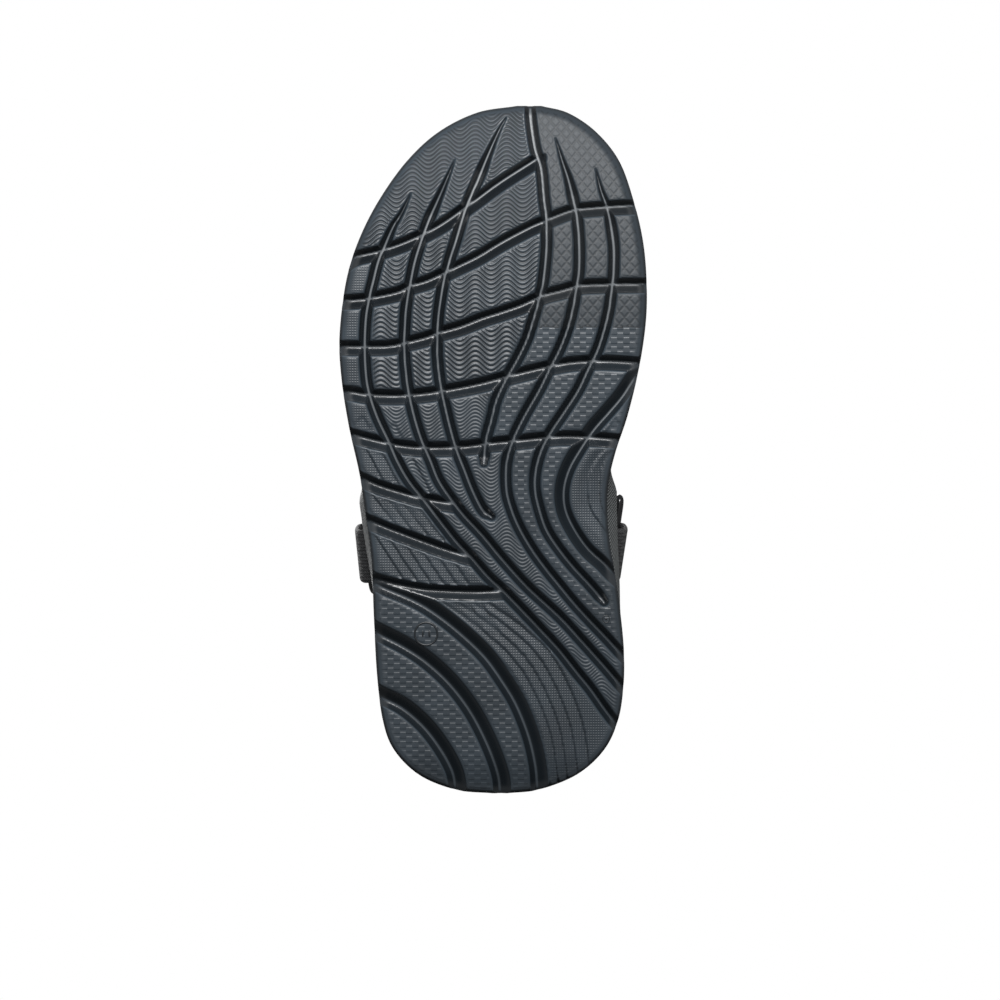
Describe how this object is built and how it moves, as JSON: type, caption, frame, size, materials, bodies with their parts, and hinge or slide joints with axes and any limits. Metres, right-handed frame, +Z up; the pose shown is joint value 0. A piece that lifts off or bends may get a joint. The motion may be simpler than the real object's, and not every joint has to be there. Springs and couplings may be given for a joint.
{
  "type": "sport sandal",
  "caption": "Right sport sandal: lugged rubber outsole, foam midsole and footbed, padded toe, instep and heel webbing straps with moulded side rings and hook-and-loop flaps.",
  "frame": {"origin": "centre of the bounding box in plan, on the ground under the sole", "axes": "+Z up, -Y towards the toe, +Y towards the heel, +X towards the inner (medial) side of the right foot"},
  "size_m": [0.1141, 0.256, 0.0935],
  "materials": {
    "outsole_rubber": "moulded, matt, fine ribbed texture",
    "midsole_foam": "moulded foam with a ribbed side wall",
    "footbed_foam": "soft foam, matt",
    "webbing": "woven polyester webbing",
    "ring_plastic": "moulded, glossy",
    "loop_tape": "napped loops",
    "hook_tape": "moulded hooks on tape",
    "lining": "padded knit lining"
  },
  "bodies": {
    "sandal": {"outsole": "outsole_rubber", "midsole": "midsole_foam", "footbed": "footbed_foam", "ring_lateral": "ring_plastic", "ring_tab_lateral": "webbing", "ring_medial": "ring_plastic", "ring_tab_medial": "webbing", "toe_strap_lateral": "webbing", "toe_strap_medial": "webbing", "toe_loop_patch": "loop_tape", "toe_pad": "lining", "instep_strap": "webbing", "instep_loop_patch": "loop_tape", "instep_pad": "lining", "heel_strap": "webbing", "heel_loop_patch": "loop_tape", "heel_pad": "lining"},
    "toe_flap": {"toe_flap": "webbing", "toe_hook_patch": "hook_tape"},
    "instep_flap": {"instep_flap": "webbing", "instep_hook_patch": "hook_tape"},
    "heel_flap": {"heel_flap": "webbing", "heel_hook_patch": "hook_tape"}
  },
  "joints": [
    {"name": "toe_flap_peel", "type": "hinge", "parent": "sandal", "child": "toe_flap", "pos_m": [-0.01109, -0.05682, 0.06789], "axis": [-0.1426, -0.9596, -0.2427], "range_deg": [0, 100]},
    {"name": "instep_flap_peel", "type": "hinge", "parent": "sandal", "child": "instep_flap", "pos_m": [0.04156, 0.01906, 0.05887], "axis": [-0.3115, 0.5399, 0.782], "range_deg": [0, 100]},
    {"name": "heel_flap_peel", "type": "hinge", "parent": "sandal", "child": "heel_flap", "pos_m": [-0.04084, 0.05685, 0.05876], "axis": [0.2499, -0.4776, 0.8423], "range_deg": [0, 100]}
  ]
}
